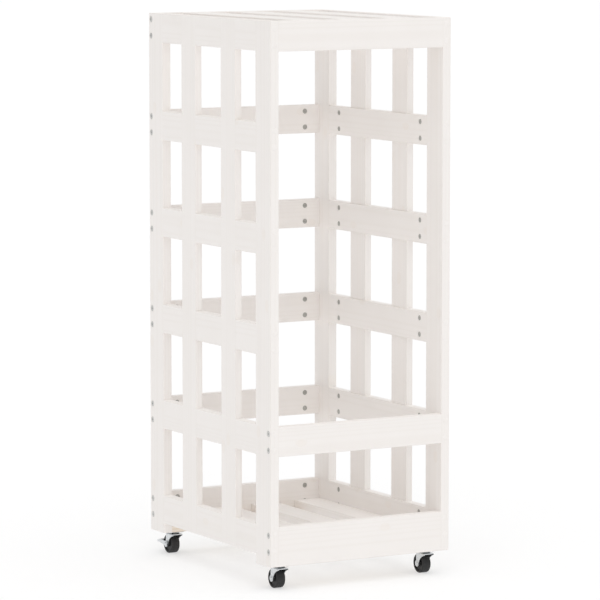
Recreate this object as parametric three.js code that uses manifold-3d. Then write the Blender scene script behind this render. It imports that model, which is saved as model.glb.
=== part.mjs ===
// A firewood log rack on casters, in millimetres, +Z up, standing on Z = 0.
// X runs from the left side to the right side, Y from the front to the back.
// Two lattice side panels stand apart; boards close the front at the top, the middle and the
// bottom, rails close the back, slats make the roof and the floor, and the rack stands on four
// swivel casters, the rear two with a brake pedal.
import * as THREE from 'three';
import { mergeVertices } from 'three/addons/utils/BufferGeometryUtils.js';
import Module from 'manifold-3d';

const wasm = await Module();
wasm.setup();

// Driving dimensions of the wooden rack
const RACK_WIDTH = 400;
const RACK_DEPTH = 500;
const POST_HEIGHT = 1045;
const BOARD_WIDTH = 58;
const BOARD_THICKNESS = 18;
const SLAT_THICKNESS = 14;
const RAIL_COUNT = 6;
const RAIL_PITCH = 193.5;
const LOWEST_RAIL_Z = 19.5;
const SLAT_CENTRE_OFFSET = 81.5;
const LAP_DEPTH = 7;
const LAP_CLEARANCE = 0.25;
const MIDDLE_BOARD_ROW = 1;
const ROOF_SLAT_COUNT = 3;
const FLOOR_SLAT_COUNT = 4;
const CLEAT_SIZE = 18;
const FRONT_BEARER_DEPTH = 68;
const REAR_BEARER_DEPTH = 58;

// Driving dimensions of a caster, measured from its swivel axis and its mounting plane
const CASTER_HEIGHT = 48;
const CASTER_INSET_X = 36;
const CASTER_INSET_Y = 31;
const CASTER_TRAIL = 10;
const WHEEL_RADIUS = 19;
const WHEEL_WIDTH = 18;
const WHEEL_SIDES = 36;
const TREAD_ROUNDING = 2.5;
const HUB_RADIUS = 6;
const HUB_RECESS_RADIUS = 14;
const HUB_RECESS_DEPTH = 2;
const HUB_RECESS_SLOPE = 1;
const BORE_RADIUS = 2.8;
const AXLE_RADIUS = 2.5;
const AXLE_HEAD_RADIUS = 4;
const AXLE_HEAD_LENGTH = 1.5;
const PLATE_SIZE = 36;
const PLATE_THICKNESS = 2;
const PLATE_CORNER_RADIUS = 4;
const SCREW_HOLE_RADIUS = 2.25;
const SCREW_HOLE_OFFSET = 11.5;
const RACE_RADIUS = 12;
const RACE_HEIGHT = 4;
const SWIVEL_GAP = 0.4;
const KINGPIN_RADIUS = 3.5;
const KINGPIN_HOLE_RADIUS = 4;
const KINGPIN_HEAD_RADIUS = 5;
const KINGPIN_HEAD_HEIGHT = 1;
const FORK_SHEET = 1.6;
const FORK_INNER_HALF_WIDTH = 10.2;
const FORK_FRONT = -18;
const FORK_REAR = 16;
const FORK_CORNER_RADIUS = 4;
const FORK_ARM_RADIUS = 6;
const FORK_ARM_PULL_BACK = 3;
const FORK_ARM_PULL_DROP = 5;
const PEDAL_SHEET = 1.4;
const PEDAL_GAP = 0.4;
const PEDAL_REACH = 37;
const PEDAL_TREAD_START = 22;
const PEDAL_END_RADIUS = 5;
const PEDAL_TREAD_START_Z = 6.2;
const PEDAL_TREAD_END_Z = 3.8;
const PEDAL_CHEEK_START_Z = 0.5;
const PEDAL_CHEEK_END_Z = 2.2;
const ROUND_SIDES = 16;

const PAINTED_PINE = { color: 0xf3efe9, roughness: 0.5, metalness: 0 };
const PLAIN_PINE = { color: 0xe6d3b1, roughness: 0.7, metalness: 0 };
const ZINC_STEEL = { color: 0xc4c8ca, roughness: 0.35, metalness: 0.9 };
const BLACK_PLASTIC = { color: 0x1c1c1d, roughness: 0.5, metalness: 0 };

// Sizes that follow from the driving dimensions
const innerHalfWidth = RACK_WIDTH / 2 - BOARD_THICKNESS;
const innerWidth = 2 * innerHalfWidth;
const backOfFront = BOARD_THICKNESS;
const frontOfBack = RACK_DEPTH - BOARD_THICKNESS;
const railLength = RACK_DEPTH - 2 * BOARD_WIDTH;
const topRailZ = LOWEST_RAIL_Z + (RAIL_COUNT - 1) * RAIL_PITCH;
const forkOuterHalfWidth = FORK_INNER_HALF_WIDTH + FORK_SHEET;
const crownTop = -PLATE_THICKNESS - RACE_HEIGHT - SWIVEL_GAP;
const axleZ = WHEEL_RADIUS - CASTER_HEIGHT;
const pedalInner = forkOuterHalfWidth + PEDAL_GAP;
const rearOverhang = CASTER_TRAIL + PEDAL_REACH - CASTER_INSET_Y;

const rack = new THREE.Group();

const wood = new THREE.Group();
wood.position.set(0, -(RACK_DEPTH + rearOverhang) / 2, CASTER_HEIGHT);
rack.add(wood);

// ---- helpers ----

function makeMesh(name, geometry, finish) {
  const mesh = new THREE.Mesh(geometry, new THREE.MeshStandardMaterial(finish));
  mesh.name = name;
  return mesh;
}

// A square-edged board given by its size and its left, front, lower corner.
function addBoard(name, size, corner, finish = PAINTED_PINE) {
  const mesh = makeMesh(name, new THREE.BoxGeometry(size[0], size[1], size[2]), finish);
  mesh.position.set(
    corner[0] + size[0] / 2,
    corner[1] + size[1] / 2,
    corner[2] + size[2] / 2,
  );
  wood.add(mesh);
}

function shapeFromPoints(points) {
  return new THREE.Shape(points.map(([x, y]) => new THREE.Vector2(x, y)));
}

function extrude(shape, depth, curveSegments = ROUND_SIDES / 4) {
  return new THREE.ExtrudeGeometry(shape, { depth, bevelEnabled: false, curveSegments });
}

// A closed mesh becomes a solid that can be joined and cut.
function toSolid(geometry) {
  const bare = geometry.clone();
  bare.deleteAttribute('normal');
  bare.deleteAttribute('uv');
  const merged = mergeVertices(bare);
  return new wasm.Manifold(new wasm.Mesh({
    numProp: 3,
    vertProperties: new Float32Array(merged.attributes.position.array),
    triVerts: new Uint32Array(merged.index.array),
  }));
}

function toGeometry(solid) {
  const mesh = solid.getMesh();
  const geometry = new THREE.BufferGeometry();
  geometry.setAttribute('position', new THREE.BufferAttribute(mesh.vertProperties, 3));
  geometry.setIndex(new THREE.BufferAttribute(mesh.triVerts, 1));
  geometry.computeVertexNormals();
  return geometry;
}

// A cylinder along Z between two heights.
function uprightCylinder(radius, low, high, x = 0, y = 0) {
  const geometry = new THREE.CylinderGeometry(radius, radius, high - low, ROUND_SIDES);
  geometry.rotateX(Math.PI / 2);
  geometry.translate(x, y, (low + high) / 2);
  return toSolid(geometry);
}

// A cylinder along X, centred on X = 0.
function crossCylinder(radius, length, y, z) {
  const geometry = new THREE.CylinderGeometry(radius, radius, length, ROUND_SIDES);
  geometry.rotateZ(Math.PI / 2);
  geometry.translate(0, y, z);
  return toSolid(geometry);
}

// A flat sheet in the YZ plane: the outline's first axis is Y and its second is Z.
function sideSheet(shape, low, high) {
  const geometry = extrude(shape, high - low);
  geometry.rotateX(Math.PI / 2);
  geometry.rotateZ(Math.PI / 2);
  geometry.translate(low, 0, 0);
  return toSolid(geometry);
}

function roundedRectangle(lowX, lowY, highX, highY, radius) {
  const shape = new THREE.Shape();
  shape.moveTo(lowX + radius, lowY);
  shape.absarc(highX - radius, lowY + radius, radius, -Math.PI / 2, 0);
  shape.absarc(highX - radius, highY - radius, radius, 0, Math.PI / 2);
  shape.absarc(lowX + radius, highY - radius, radius, Math.PI / 2, Math.PI);
  shape.absarc(lowX + radius, lowY + radius, radius, Math.PI, 1.5 * Math.PI);
  return shape;
}

// ---- side panels: two posts, six rails and two slats halved into the rails ----

function slatStarts() {
  const middle = RACK_DEPTH / 2;
  return [middle - SLAT_CENTRE_OFFSET, middle + SLAT_CENTRE_OFFSET]
    .map((centre) => centre - BOARD_WIDTH / 2);
}

// Looking down on a rail: its outer face is cut back where a slat crosses it.
function railProfile(outerX, inward) {
  const outer = outerX;
  const cut = outerX + inward * (LAP_DEPTH + LAP_CLEARANCE);
  const inner = outerX + inward * BOARD_THICKNESS;
  const points = [[inner, BOARD_WIDTH], [outer, BOARD_WIDTH]];
  for (const start of slatStarts()) {
    points.push(
      [outer, start - LAP_CLEARANCE],
      [cut, start - LAP_CLEARANCE],
      [cut, start + BOARD_WIDTH + LAP_CLEARANCE],
      [outer, start + BOARD_WIDTH + LAP_CLEARANCE],
    );
  }
  points.push([outer, BOARD_WIDTH + railLength], [inner, BOARD_WIDTH + railLength]);
  return shapeFromPoints(points);
}

// Looking along Y at a slat: its inner face is cut back where it crosses a rail.
function slatProfile(outerX, inward) {
  const outer = outerX;
  const cut = outerX + inward * LAP_DEPTH;
  const inner = outerX + inward * SLAT_THICKNESS;
  const points = [[outer, POST_HEIGHT], [outer, LOWEST_RAIL_Z], [cut, LOWEST_RAIL_Z]];
  for (let row = 0; row < RAIL_COUNT - 1; row += 1) {
    const gapLow = LOWEST_RAIL_Z + row * RAIL_PITCH + BOARD_WIDTH + LAP_CLEARANCE;
    const gapHigh = LOWEST_RAIL_Z + (row + 1) * RAIL_PITCH - LAP_CLEARANCE;
    points.push([cut, gapLow], [inner, gapLow], [inner, gapHigh], [cut, gapHigh]);
  }
  points.push([cut, POST_HEIGHT]);
  return shapeFromPoints(points);
}

function addSidePanel(side, outerX, inward) {
  const postX = Math.min(outerX, outerX + inward * BOARD_THICKNESS);
  const postSize = [BOARD_THICKNESS, BOARD_WIDTH, POST_HEIGHT];
  addBoard(`${side}_front_post`, postSize, [postX, 0, 0]);
  addBoard(`${side}_rear_post`, postSize, [postX, RACK_DEPTH - BOARD_WIDTH, 0]);

  for (let row = 0; row < RAIL_COUNT; row += 1) {
    const geometry = extrude(railProfile(outerX, inward), BOARD_WIDTH);
    const rail = makeMesh(`${side}_rail_${row + 1}`, geometry, PAINTED_PINE);
    rail.position.z = LOWEST_RAIL_Z + row * RAIL_PITCH;
    wood.add(rail);
  }

  slatStarts().forEach((start, index) => {
    const geometry = extrude(slatProfile(outerX, inward), BOARD_WIDTH);
    geometry.rotateX(Math.PI / 2);
    const slat = makeMesh(`${side}_slat_${['front', 'rear'][index]}`, geometry, PAINTED_PINE);
    slat.position.y = start + BOARD_WIDTH;
    wood.add(slat);
  });
}

addSidePanel('left', -RACK_WIDTH / 2, 1);
addSidePanel('right', RACK_WIDTH / 2, -1);

// ---- boards across the front and rails across the back, between the side panels ----

const crossSize = [innerWidth, BOARD_THICKNESS, BOARD_WIDTH];
const middleBoardZ = LOWEST_RAIL_Z + MIDDLE_BOARD_ROW * RAIL_PITCH;
const bottomBoardHeight = LOWEST_RAIL_Z + BOARD_WIDTH;
addBoard('front_top_board', crossSize, [-innerHalfWidth, 0, topRailZ]);
addBoard('front_middle_board', crossSize, [-innerHalfWidth, 0, middleBoardZ]);
addBoard('front_bottom_board', [innerWidth, BOARD_THICKNESS, bottomBoardHeight],
  [-innerHalfWidth, 0, 0]);

for (let row = 0; row < RAIL_COUNT; row += 1) {
  const z = LOWEST_RAIL_Z + row * RAIL_PITCH;
  addBoard(`back_rail_${row + 1}`, crossSize, [-innerHalfWidth, frontOfBack, z]);
}

// ---- roof: three slats with equal gaps, on a cleat at each end ----

const slatLength = frontOfBack - backOfFront;
const roofGap = (innerWidth - ROOF_SLAT_COUNT * BOARD_WIDTH) / (ROOF_SLAT_COUNT + 1);
for (let index = 0; index < ROOF_SLAT_COUNT; index += 1) {
  const x = -innerHalfWidth + roofGap + index * (BOARD_WIDTH + roofGap);
  addBoard(`roof_slat_${['left', 'middle', 'right'][index]}`,
    [BOARD_WIDTH, slatLength, BOARD_THICKNESS], [x, backOfFront, POST_HEIGHT - BOARD_THICKNESS]);
}

const cleatZ = POST_HEIGHT - BOARD_THICKNESS - CLEAT_SIZE;
const cleatSize = [innerWidth, CLEAT_SIZE, CLEAT_SIZE];
addBoard('roof_cleat_front', cleatSize, [-innerHalfWidth, backOfFront, cleatZ]);
addBoard('roof_cleat_rear', cleatSize, [-innerHalfWidth, frontOfBack - CLEAT_SIZE, cleatZ]);

// ---- floor: a bearer over each pair of casters, and slats across the two ----

addBoard('floor_bearer_front', [innerWidth, FRONT_BEARER_DEPTH, BOARD_THICKNESS],
  [-innerHalfWidth, backOfFront, 0], PLAIN_PINE);
addBoard('floor_bearer_rear', [innerWidth, REAR_BEARER_DEPTH, BOARD_THICKNESS],
  [-innerHalfWidth, RACK_DEPTH - REAR_BEARER_DEPTH, 0], PLAIN_PINE);

const floorPitch = (innerWidth - BOARD_WIDTH) / (FLOOR_SLAT_COUNT - 1);
for (let index = 0; index < FLOOR_SLAT_COUNT; index += 1) {
  addBoard(`floor_slat_${index + 1}`, [BOARD_WIDTH, slatLength, BOARD_THICKNESS],
    [-innerHalfWidth + index * floorPitch, backOfFront, BOARD_THICKNESS]);
}

// ---- casters: each is built about its swivel axis, hanging from its mounting plane ----

// The screwed plate, with the bearing race under it and the kingpin that holds the fork.
function casterPlate() {
  const half = PLATE_SIZE / 2;
  const outline = roundedRectangle(-half, -half, half, half, PLATE_CORNER_RADIUS);
  const sheet = extrude(outline, PLATE_THICKNESS);
  sheet.translate(0, 0, -PLATE_THICKNESS);
  const raceBottom = -PLATE_THICKNESS - RACE_HEIGHT;
  const headTop = crownTop - FORK_SHEET - SWIVEL_GAP;
  let solid = toSolid(sheet)
    .add(uprightCylinder(RACE_RADIUS, raceBottom, -PLATE_THICKNESS / 2))
    .add(uprightCylinder(KINGPIN_RADIUS, headTop - KINGPIN_HEAD_HEIGHT / 2, raceBottom + RACE_HEIGHT / 4))
    .add(uprightCylinder(KINGPIN_HEAD_RADIUS, headTop - KINGPIN_HEAD_HEIGHT, headTop));
  for (const x of [-SCREW_HOLE_OFFSET, SCREW_HOLE_OFFSET]) {
    for (const y of [-SCREW_HOLE_OFFSET, SCREW_HOLE_OFFSET]) {
      solid = solid.subtract(uprightCylinder(SCREW_HOLE_RADIUS, -2 * PLATE_THICKNESS, 1, x, y));
    }
  }
  return toGeometry(solid);
}

// One arm of the fork: wide at the crown, curving in at the front down to the axle.
function forkArmOutline() {
  const shape = new THREE.Shape();
  shape.moveTo(FORK_FRONT, crownTop);
  shape.lineTo(FORK_FRONT, crownTop - FORK_SHEET);
  const armFront = CASTER_TRAIL - FORK_ARM_RADIUS;
  shape.quadraticCurveTo(armFront - FORK_ARM_PULL_BACK, crownTop - FORK_ARM_PULL_DROP,
    armFront, axleZ);
  shape.absarc(CASTER_TRAIL, axleZ, FORK_ARM_RADIUS, Math.PI, 2 * Math.PI);
  shape.lineTo(FORK_REAR, crownTop);
  return shape;
}

// Folded sheet-steel fork: a flat crown with an arm down each side of the wheel.
function casterFork() {
  const crown = extrude(roundedRectangle(-forkOuterHalfWidth, FORK_FRONT, forkOuterHalfWidth,
    FORK_REAR, FORK_CORNER_RADIUS), FORK_SHEET);
  crown.translate(0, 0, crownTop - FORK_SHEET);
  const envelope = extrude(roundedRectangle(-forkOuterHalfWidth, FORK_FRONT, forkOuterHalfWidth,
    FORK_REAR, FORK_CORNER_RADIUS), CASTER_HEIGHT);
  envelope.translate(0, 0, -CASTER_HEIGHT);
  const arms = sideSheet(forkArmOutline(), -forkOuterHalfWidth, -FORK_INNER_HALF_WIDTH)
    .add(sideSheet(forkArmOutline(), FORK_INNER_HALF_WIDTH, forkOuterHalfWidth))
    .intersect(toSolid(envelope));
  return toGeometry(toSolid(crown)
    .add(arms)
    .subtract(uprightCylinder(KINGPIN_HOLE_RADIUS, -CASTER_HEIGHT / 2, 0))
    .subtract(crossCylinder(BORE_RADIUS, PLATE_SIZE, CASTER_TRAIL, axleZ)));
}

// Half the wheel's section, from the bore out to the tread, turned about the axle.
// The wheel rests on one of its small flats, so the flats touch the stated radius.
function casterWheel() {
  const half = WHEEL_WIDTH / 2;
  const rim = WHEEL_RADIUS / Math.cos(Math.PI / WHEEL_SIDES);
  const profile = [
    [BORE_RADIUS, -half],
    [HUB_RADIUS, -half],
    [HUB_RADIUS + HUB_RECESS_SLOPE, -half + HUB_RECESS_DEPTH],
    [HUB_RECESS_RADIUS, -half + HUB_RECESS_DEPTH],
    [HUB_RECESS_RADIUS + HUB_RECESS_SLOPE, -half],
    [rim - TREAD_ROUNDING, -half],
    [rim, -half + TREAD_ROUNDING],
    [rim, half - TREAD_ROUNDING],
    [rim - TREAD_ROUNDING, half],
    [HUB_RECESS_RADIUS + HUB_RECESS_SLOPE, half],
    [HUB_RECESS_RADIUS, half - HUB_RECESS_DEPTH],
    [HUB_RADIUS + HUB_RECESS_SLOPE, half - HUB_RECESS_DEPTH],
    [HUB_RADIUS, half],
    [BORE_RADIUS, half],
    [BORE_RADIUS, -half],
  ];
  const section = profile.map(([x, y]) => new THREE.Vector2(x, y));
  const geometry = new THREE.LatheGeometry(section, WHEEL_SIDES);
  geometry.rotateY(Math.PI / WHEEL_SIDES);
  geometry.rotateZ(Math.PI / 2);
  return geometry;
}

// The axle rivet, with a head outside each arm, turned about its own length.
function casterAxle(headInner) {
  const profile = [
    [0, -headInner - AXLE_HEAD_LENGTH],
    [AXLE_HEAD_RADIUS - 1, -headInner - AXLE_HEAD_LENGTH],
    [AXLE_HEAD_RADIUS, -headInner - AXLE_HEAD_LENGTH / 2],
    [AXLE_HEAD_RADIUS, -headInner],
    [AXLE_RADIUS, -headInner],
    [AXLE_RADIUS, headInner],
    [AXLE_HEAD_RADIUS, headInner],
    [AXLE_HEAD_RADIUS, headInner + AXLE_HEAD_LENGTH / 2],
    [AXLE_HEAD_RADIUS - 1, headInner + AXLE_HEAD_LENGTH],
    [0, headInner + AXLE_HEAD_LENGTH],
  ];
  const section = profile.map(([x, y]) => new THREE.Vector2(x, y));
  const geometry = new THREE.LatheGeometry(section, ROUND_SIDES);
  geometry.rotateZ(Math.PI / 2);
  return geometry;
}

// The brake pedal, about the axle: a cheek outside each arm and a tread plate behind the wheel.
function brakePedal() {
  const cheek = new THREE.Shape();
  cheek.absarc(0, 0, PEDAL_END_RADIUS, Math.PI / 2, 1.5 * Math.PI);
  cheek.lineTo(PEDAL_TREAD_START, PEDAL_CHEEK_START_Z);
  cheek.lineTo(PEDAL_REACH, PEDAL_CHEEK_END_Z);
  cheek.lineTo(PEDAL_REACH, PEDAL_TREAD_END_Z + PEDAL_SHEET);
  cheek.lineTo(PEDAL_TREAD_START, PEDAL_TREAD_START_Z + PEDAL_SHEET);
  const treadPlate = shapeFromPoints([
    [PEDAL_TREAD_START, PEDAL_TREAD_START_Z],
    [PEDAL_REACH, PEDAL_TREAD_END_Z],
    [PEDAL_REACH, PEDAL_TREAD_END_Z + PEDAL_SHEET],
    [PEDAL_TREAD_START, PEDAL_TREAD_START_Z + PEDAL_SHEET],
  ]);
  const outer = pedalInner + PEDAL_SHEET;
  return toGeometry(sideSheet(cheek, -outer, -pedalInner)
    .add(sideSheet(cheek, pedalInner, outer))
    .add(sideSheet(treadPlate, -outer, outer))
    .subtract(crossCylinder(BORE_RADIUS, PLATE_SIZE, 0, 0)));
}

function addCaster(corner, x, y, braked) {
  const caster = new THREE.Group();
  caster.position.set(x, y, 0);
  wood.add(caster);

  const wheelSet = new THREE.Group();
  wheelSet.position.set(0, CASTER_TRAIL, axleZ);
  caster.add(wheelSet);

  const headInner = braked ? pedalInner + PEDAL_SHEET + PEDAL_GAP : forkOuterHalfWidth + PEDAL_GAP;
  caster.add(makeMesh(`${corner}_caster_plate`, casterPlate(), ZINC_STEEL));
  caster.add(makeMesh(`${corner}_caster_fork`, casterFork(), ZINC_STEEL));
  wheelSet.add(makeMesh(`${corner}_caster_wheel`, casterWheel(), BLACK_PLASTIC));
  wheelSet.add(makeMesh(`${corner}_caster_axle`, casterAxle(headInner), ZINC_STEEL));
  if (braked) {
    wheelSet.add(makeMesh(`${corner}_brake_pedal`, brakePedal(), ZINC_STEEL));
  }
}

const casterX = RACK_WIDTH / 2 - CASTER_INSET_X;
addCaster('front_left', -casterX, CASTER_INSET_Y, false);
addCaster('front_right', casterX, CASTER_INSET_Y, false);
addCaster('rear_left', -casterX, RACK_DEPTH - CASTER_INSET_Y, true);
addCaster('rear_right', casterX, RACK_DEPTH - CASTER_INSET_Y, true);

export default rack;
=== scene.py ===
"""A firewood log rack on casters: its boards, fasteners, casters and studio.

Lengths are in metres, and outlines and turned profiles in millimetres, which MM turns to metres. X
runs from the left side panel to the right one, Y from the front to the back and Z up. Every board,
caster and screw takes its place from the frame's own nodes.
"""
import math
import random

import bpy
from mathutils import Matrix, Vector


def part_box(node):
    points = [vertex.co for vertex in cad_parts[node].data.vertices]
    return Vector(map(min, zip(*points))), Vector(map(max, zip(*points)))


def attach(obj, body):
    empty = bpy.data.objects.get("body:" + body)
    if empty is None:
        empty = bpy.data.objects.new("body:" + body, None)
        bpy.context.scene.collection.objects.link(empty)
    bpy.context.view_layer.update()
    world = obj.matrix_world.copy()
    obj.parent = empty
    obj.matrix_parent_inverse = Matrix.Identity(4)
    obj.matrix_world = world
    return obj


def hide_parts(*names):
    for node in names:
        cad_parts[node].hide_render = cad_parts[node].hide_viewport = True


bl_info = {
    "name": "Firewood Log Rack",
    "version": (1, 0, 0),
    "blender": (4, 5, 0),
    "location": "3D View > Sidebar > Log Rack",
    "description": "Models the log rack's boards, fasteners and casters, and the studio round it",
    "category": "Object",
}

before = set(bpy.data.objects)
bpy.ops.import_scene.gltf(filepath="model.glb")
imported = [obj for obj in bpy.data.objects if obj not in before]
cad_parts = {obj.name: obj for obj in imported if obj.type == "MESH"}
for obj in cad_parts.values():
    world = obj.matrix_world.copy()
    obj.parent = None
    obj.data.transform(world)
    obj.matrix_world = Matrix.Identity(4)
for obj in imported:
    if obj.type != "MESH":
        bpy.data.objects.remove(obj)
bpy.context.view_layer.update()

MM = 0.001
SIDES = {"left": -1, "right": 1}
ENDS = ("front", "rear")
POSTS = [(side, end) for side in SIDES for end in ENDS]
ROWS = range(1, 7)
ROOF_SLATS = ("left", "middle", "right")
FLOOR_SLATS = range(1, 5)
CORNERS = ("front_left", "front_right", "rear_left", "rear_right")
BRAKED_CORNERS = ("rear_left", "rear_right")
BOLTED_FRONT_BOARDS = ("front_middle_board", "front_bottom_board")
BOARD_NODES = sorted(
    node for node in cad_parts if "caster" not in node and "pedal" not in node
)
BOARD_BOXES = {node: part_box(node) for node in BOARD_NODES}
X, Y, Z = Vector((1, 0, 0)), Vector((0, 1, 0)), Vector((0, 0, 1))
# A cutter reaches this far past the wood.
OVERSHOOT = 1 * MM
# Coordinates closer than this are the same, and a normal steeper than this is a flat face's.
TINY = 1e-6
FLAT = 0.99
# The height of a drill's first ridge, and the thickness of a caster's plate and of its tyre.
MOUTH_MM = -0.01
PLATE_MM = 2.0
TYRE_MM = 3.7
# The colour sockets of a mix node.
MIX_A, MIX_B, MIX_RESULT = 6, 7, 2


# ---- sizes and colours ----


def linear_colour(hex_code):
    """An sRGB hex colour as the linear colour, with alpha, that a shader socket takes."""
    channels = [int(hex_code[i : i + 2], 16) / 255 for i in (0, 2, 4)]
    bend = [c / 12.92 if c <= 0.04045 else ((c + 0.055) / 1.055) ** 2.4 for c in channels]
    return (*bend, 1.0)


def length(name, description, millimetres):
    """A length that the user can change, given in millimetres."""
    return bpy.props.FloatProperty(
        name=name, description=description, default=millimetres * MM, min=0, unit="LENGTH"
    )


def colour(name, description, hex_code):
    """A colour that the user can change, given as sRGB hex."""
    return bpy.props.FloatVectorProperty(
        name=name,
        description=description,
        default=linear_colour(hex_code),
        size=4,
        min=0,
        max=1,
        subtype="COLOR",
    )


def angle(name, description, degrees):
    """An angle that the user can change, given in degrees."""
    return bpy.props.FloatProperty(
        name=name, description=description, default=math.radians(degrees), subtype="ANGLE"
    )


class LOGRACK_PG_timber(bpy.types.PropertyGroup):
    """How the boards are sanded and finished."""

    open_ease: length("Open edge radius", "Radius sanded on edges that stand free", 1.0)
    joint_ease: length("Joint edge radius", "Radius left on edges that meet a board", 0.2)
    lap_depth: length("Lap depth", "Depth of the halving where a slat crosses a rail", 7)
    lap_clearance: length("Lap clearance", "Play round a slat in its halving", 0.1)
    paint: colour("Paint", "Satin white paint over the pine", "F9F5F2")
    paint_shade: colour("Grain shade", "The paint over hard grain lines and edges", "EEE8E2")
    knot_bleed: colour("Knot bleed", "Resin that yellows the paint over a knot", "EEE1D2")
    early_wood: colour("Early wood", "Soft pale wood of plain pine", "F4EADD")
    late_wood: colour("Late wood", "Hard dark rings of plain pine", "E6D3BA")
    knot_wood: colour("Knot", "Heart of a knot in plain pine", "8A5A34")


class LOGRACK_PG_fasteners(bpy.types.PropertyGroup):
    """Sizes and finishes of the bolts, barrel nuts, caps and screws."""

    pair_reach: length("Pair reach", "From a board's middle line to each of its two bolts", 16.25)
    low_pair_drop: length("Low pair drop", "From the bottom board's top to its bolts' middle", 32.5)
    head_diameter: length("Bolt head", "Diameter of a flat socket head", 11.5)
    head_height: length("Bolt head height", "Height of a flat socket head", 2.4)
    socket_width: length("Socket", "Hexagon socket across its flats", 4)
    shank_diameter: length("Bolt shank", "Diameter of a bolt's shank", 6)
    hole_play: length("Hole play", "Play between a shank and its hole", 0.5)
    head_sink: length("Head sink", "How far a bolt head lies under the panel's face", 0.15)
    nut_diameter: length("Barrel nut", "Diameter of a barrel nut", 10)
    nut_length: length("Barrel nut length", "Length of a barrel nut", 14)
    nut_sink: length("Nut sink", "How far a barrel nut lies under the rail's face", 0.4)
    cross_reach: length("Cross nut reach", "From a cross board's end to its barrel nuts", 33.5)
    front_reach: length("Front nut reach", "From a side rail's front end to its nuts", 26)
    rear_reach: length("Rear nut reach", "From a side rail's rear end to its nuts", 40.5)
    grip: length("Frame bolt grip", "From a frame bolt's head to its barrel nut", 60)
    cap_diameter: length("Cap", "Diameter of the cap over a sunk frame bolt", 12)
    screw_diameter: length("Screw head", "Diameter of a countersunk wood screw's head", 7.8)
    bolt_steel: colour("Bolt steel", "Nickel-plated bolts", "DDDDDB")
    nut_steel: colour("Nut steel", "Zinc-plated barrel nuts", "C2C2BE")
    screw_steel: colour("Screw steel", "Yellow zinc wood screws", "CDBB8C")
    cap_white: colour("Cap", "White cap over a frame bolt", "F9F5F2")


class LOGRACK_PG_casters(bpy.types.PropertyGroup):
    """Sizes and finishes of the casters beyond those that the frame gives."""

    sheet: length("Fork sheet", "Thickness of the fork's steel", 1.6)
    bend: length("Fork bend", "Outer radius where an arm is folded off the crown", 2.2)
    arm_radius: length("Arm end", "Radius of a fork arm's round end", 6)
    corner_radius: length("Corner", "Radius of the plate's and crown's corners", 4)
    screw_reach: length("Screw reach", "From the swivel to each screw along X and along Y", 11.5)
    zinc: colour("Zinc", "Bright zinc plating", "E3E6E8")
    tyre: colour("Tyre", "Black rubber tread", "1C1C1D")
    tyre_dust: colour("Tyre dust", "Dust that greys the tread", "333231")
    core: colour("Core", "Black nylon wheel body", "0E0E0F")
    core_dust: colour("Core dust", "Dust that greys the wheel body", "1B1B1C")


class LOGRACK_PG_studio(bpy.types.PropertyGroup):
    """The floor, the light and the camera."""

    floor: colour("Floor", "Matt pale floor", "B8B8B8")
    floor_shade: colour("Floor shade", "Faint darker patches of the floor", "A8A8A8")
    floor_glow: bpy.props.FloatProperty(
        name="Floor glow",
        description="How strongly the floor is lit through from below",
        default=0.5,
        min=0,
    )
    floor_size: length("Floor size", "Length of the floor's sides", 120000)
    backdrop: bpy.props.FloatProperty(
        name="Backdrop", description="Brightness of the white behind the rack", default=1.1, min=0
    )
    surround: bpy.props.FloatProperty(
        name="Surround", description="Strength of the white surround", default=0.54, min=0
    )
    top_light: bpy.props.FloatProperty(
        name="Top light", description="Strength of the soft light overhead", default=1.5, min=0
    )
    top_spread: angle("Top spread", "How wide the light overhead is", 80)
    top_lean: angle("Top lean", "How far the light overhead leans to the front", 8)
    fill_light: bpy.props.FloatProperty(
        name="Fill light", description="Strength of the front left light", default=0.38, min=0
    )
    fill_spread: angle("Fill spread", "How wide the light from the front left is", 60)
    fill_sweep: angle("Fill sweep", "How far left of the front the fill light stands", 35)
    fill_rise: angle("Fill rise", "How high the fill light stands", 20)
    azimuth: angle("Azimuth", "How far left of the front the camera stands", 29.47)
    elevation: angle("Elevation", "How far the camera looks down", 6.404)
    distance: length("Distance", "From the camera to the point that it looks at", 7496)
    aim_forward: length("Aim forward", "How far before the rack's middle the camera looks", 18.2)
    aim_height: length("Aim height", "Height of the point that the camera looks at", 529.9)
    lens: bpy.props.FloatProperty(
        name="Lens", description="Focal length in millimetres", default=227.04, min=1
    )


GROUPS = {
    "lograck_timber": LOGRACK_PG_timber,
    "lograck_fasteners": LOGRACK_PG_fasteners,
    "lograck_casters": LOGRACK_PG_casters,
    "lograck_studio": LOGRACK_PG_studio,
}


def timber():
    return bpy.context.scene.lograck_timber


def fasteners():
    return bpy.context.scene.lograck_fasteners


def casters():
    return bpy.context.scene.lograck_casters


# ---- modelling helpers ----


def only(piece=None):
    """Leaves edit mode and selects one object and nothing else."""
    if bpy.context.mode != "OBJECT":
        bpy.ops.object.mode_set(mode="OBJECT")
    bpy.ops.object.select_all(action="DESELECT")
    if piece:
        piece.select_set(True)
        bpy.context.view_layer.objects.active = piece


def settle(piece):
    """Moves an object's place and turn into its mesh, so that the object is at the origin."""
    only(piece)
    bpy.ops.object.transform_apply(location=True, rotation=True, scale=True)
    return piece


def named(name):
    """The new primitive, under its own name and settled at the origin."""
    piece = bpy.context.object
    piece.name = name
    piece.data.name = name
    return settle(piece)


def start_box(name, low, high):
    """A box between two corners, ready to be shaped."""
    only()
    low, high = Vector(low), Vector(high)
    bpy.ops.mesh.primitive_cube_add(size=1, location=(low + high) / 2, scale=high - low)
    return named(name)


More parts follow.
